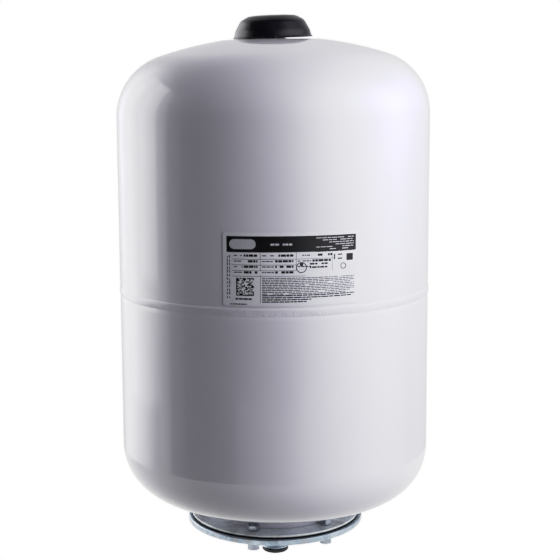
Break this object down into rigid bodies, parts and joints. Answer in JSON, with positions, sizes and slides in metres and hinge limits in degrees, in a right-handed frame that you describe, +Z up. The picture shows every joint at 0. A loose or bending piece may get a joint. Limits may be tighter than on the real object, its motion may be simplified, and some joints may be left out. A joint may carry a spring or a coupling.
{
  "type": "expansion vessel",
  "caption": "Upright cylindrical expansion vessel with domed ends, girth weld, capped air valve on top and a bolted bladder flange with a threaded water connection below.",
  "frame": {"origin": "centre of the water connection's end face, at the bottom", "axes": "+Z up along the tank's axis towards the air valve, -Y towards the front with the rating label"},
  "size_m": [0.2818, 0.2818, 0.497],
  "materials": {
    "paint": "gloss white paint with a slight lavender tint",
    "zinc": "galvanised",
    "steel": "drawn wire",
    "brass": "turned",
    "black_plastic": "moulded, glossy",
    "rubber": "moulded, matt",
    "seal_red": "smooth",
    "label_film": "printed film, satin"
  },
  "bodies": {
    "vessel": {"upper_shell": "paint", "lower_shell": "paint", "girth_weld": "paint", "neck_weld": "paint", "rating_label": "label_film", "neck_ring": "zinc", "counterflange": "zinc", "connection_nipple": "zinc", "nipple_weld": "zinc", "bladder": "rubber", "flange_bolt_1": "zinc", "flange_bolt_2": "zinc", "flange_bolt_3": "zinc", "flange_bolt_4": "zinc", "flange_bolt_5": "zinc", "flange_bolt_6": "zinc", "flange_nut_1": "zinc", "flange_nut_2": "zinc", "flange_nut_3": "zinc", "flange_nut_4": "zinc", "flange_nut_5": "zinc", "flange_nut_6": "zinc", "bolt_washer_1": "zinc", "bolt_washer_2": "zinc", "bolt_washer_3": "zinc", "bolt_washer_4": "zinc", "bolt_washer_5": "zinc", "bolt_washer_6": "zinc", "valve_body": "brass", "valve_stem": "brass", "valve_gasket": "rubber", "valve_washer": "zinc", "valve_nut": "zinc", "valve_core_body": "brass", "valve_core_seal": "seal_red", "valve_core_spring": "steel"},
    "core_pin": {"valve_core_pin": "brass", "valve_core_cup": "rubber"},
    "cap_seal": {"dust_cap_seal": "rubber"},
    "cap": {"dust_cap": "black_plastic"},
    "cover": {"valve_cover": "black_plastic"},
    "plug": {"transport_plug": "black_plastic"}
  },
  "joints": [
    {"name": "cover_lift", "type": "slide", "parent": "vessel", "child": "cover", "axis": [-0.0332, -0.0401, 0.9986], "range_m": [0, 0.045]},
    {"name": "dust_cap_rise", "type": "slide", "parent": "vessel", "child": "cap_seal", "axis": [0, 0, 1], "range_m": [0, 0.0035]},
    {"name": "dust_cap_turn", "type": "hinge", "parent": "cap_seal", "child": "cap", "pos_m": [0, 0, 0.481], "axis": [0, 0, 1], "range_deg": [0, 1587.4]},
    {"name": "core_pin_press", "type": "slide", "parent": "vessel", "child": "core_pin", "axis": [0, 0, -1], "range_m": [0, 0.002], "stiffness_N_per_m": 200, "springref_m": -0.002, "deforming": ["valve_core_spring"]},
    {"name": "plug_pull", "type": "slide", "parent": "vessel", "child": "plug", "axis": [0, 0, -1], "range_m": [0, 0.03]}
  ],
  "couplings": [
    {"joint": "dust_cap_turn", "follows": "dust_cap_rise", "rad_per_m": 7915.8}
  ]
}
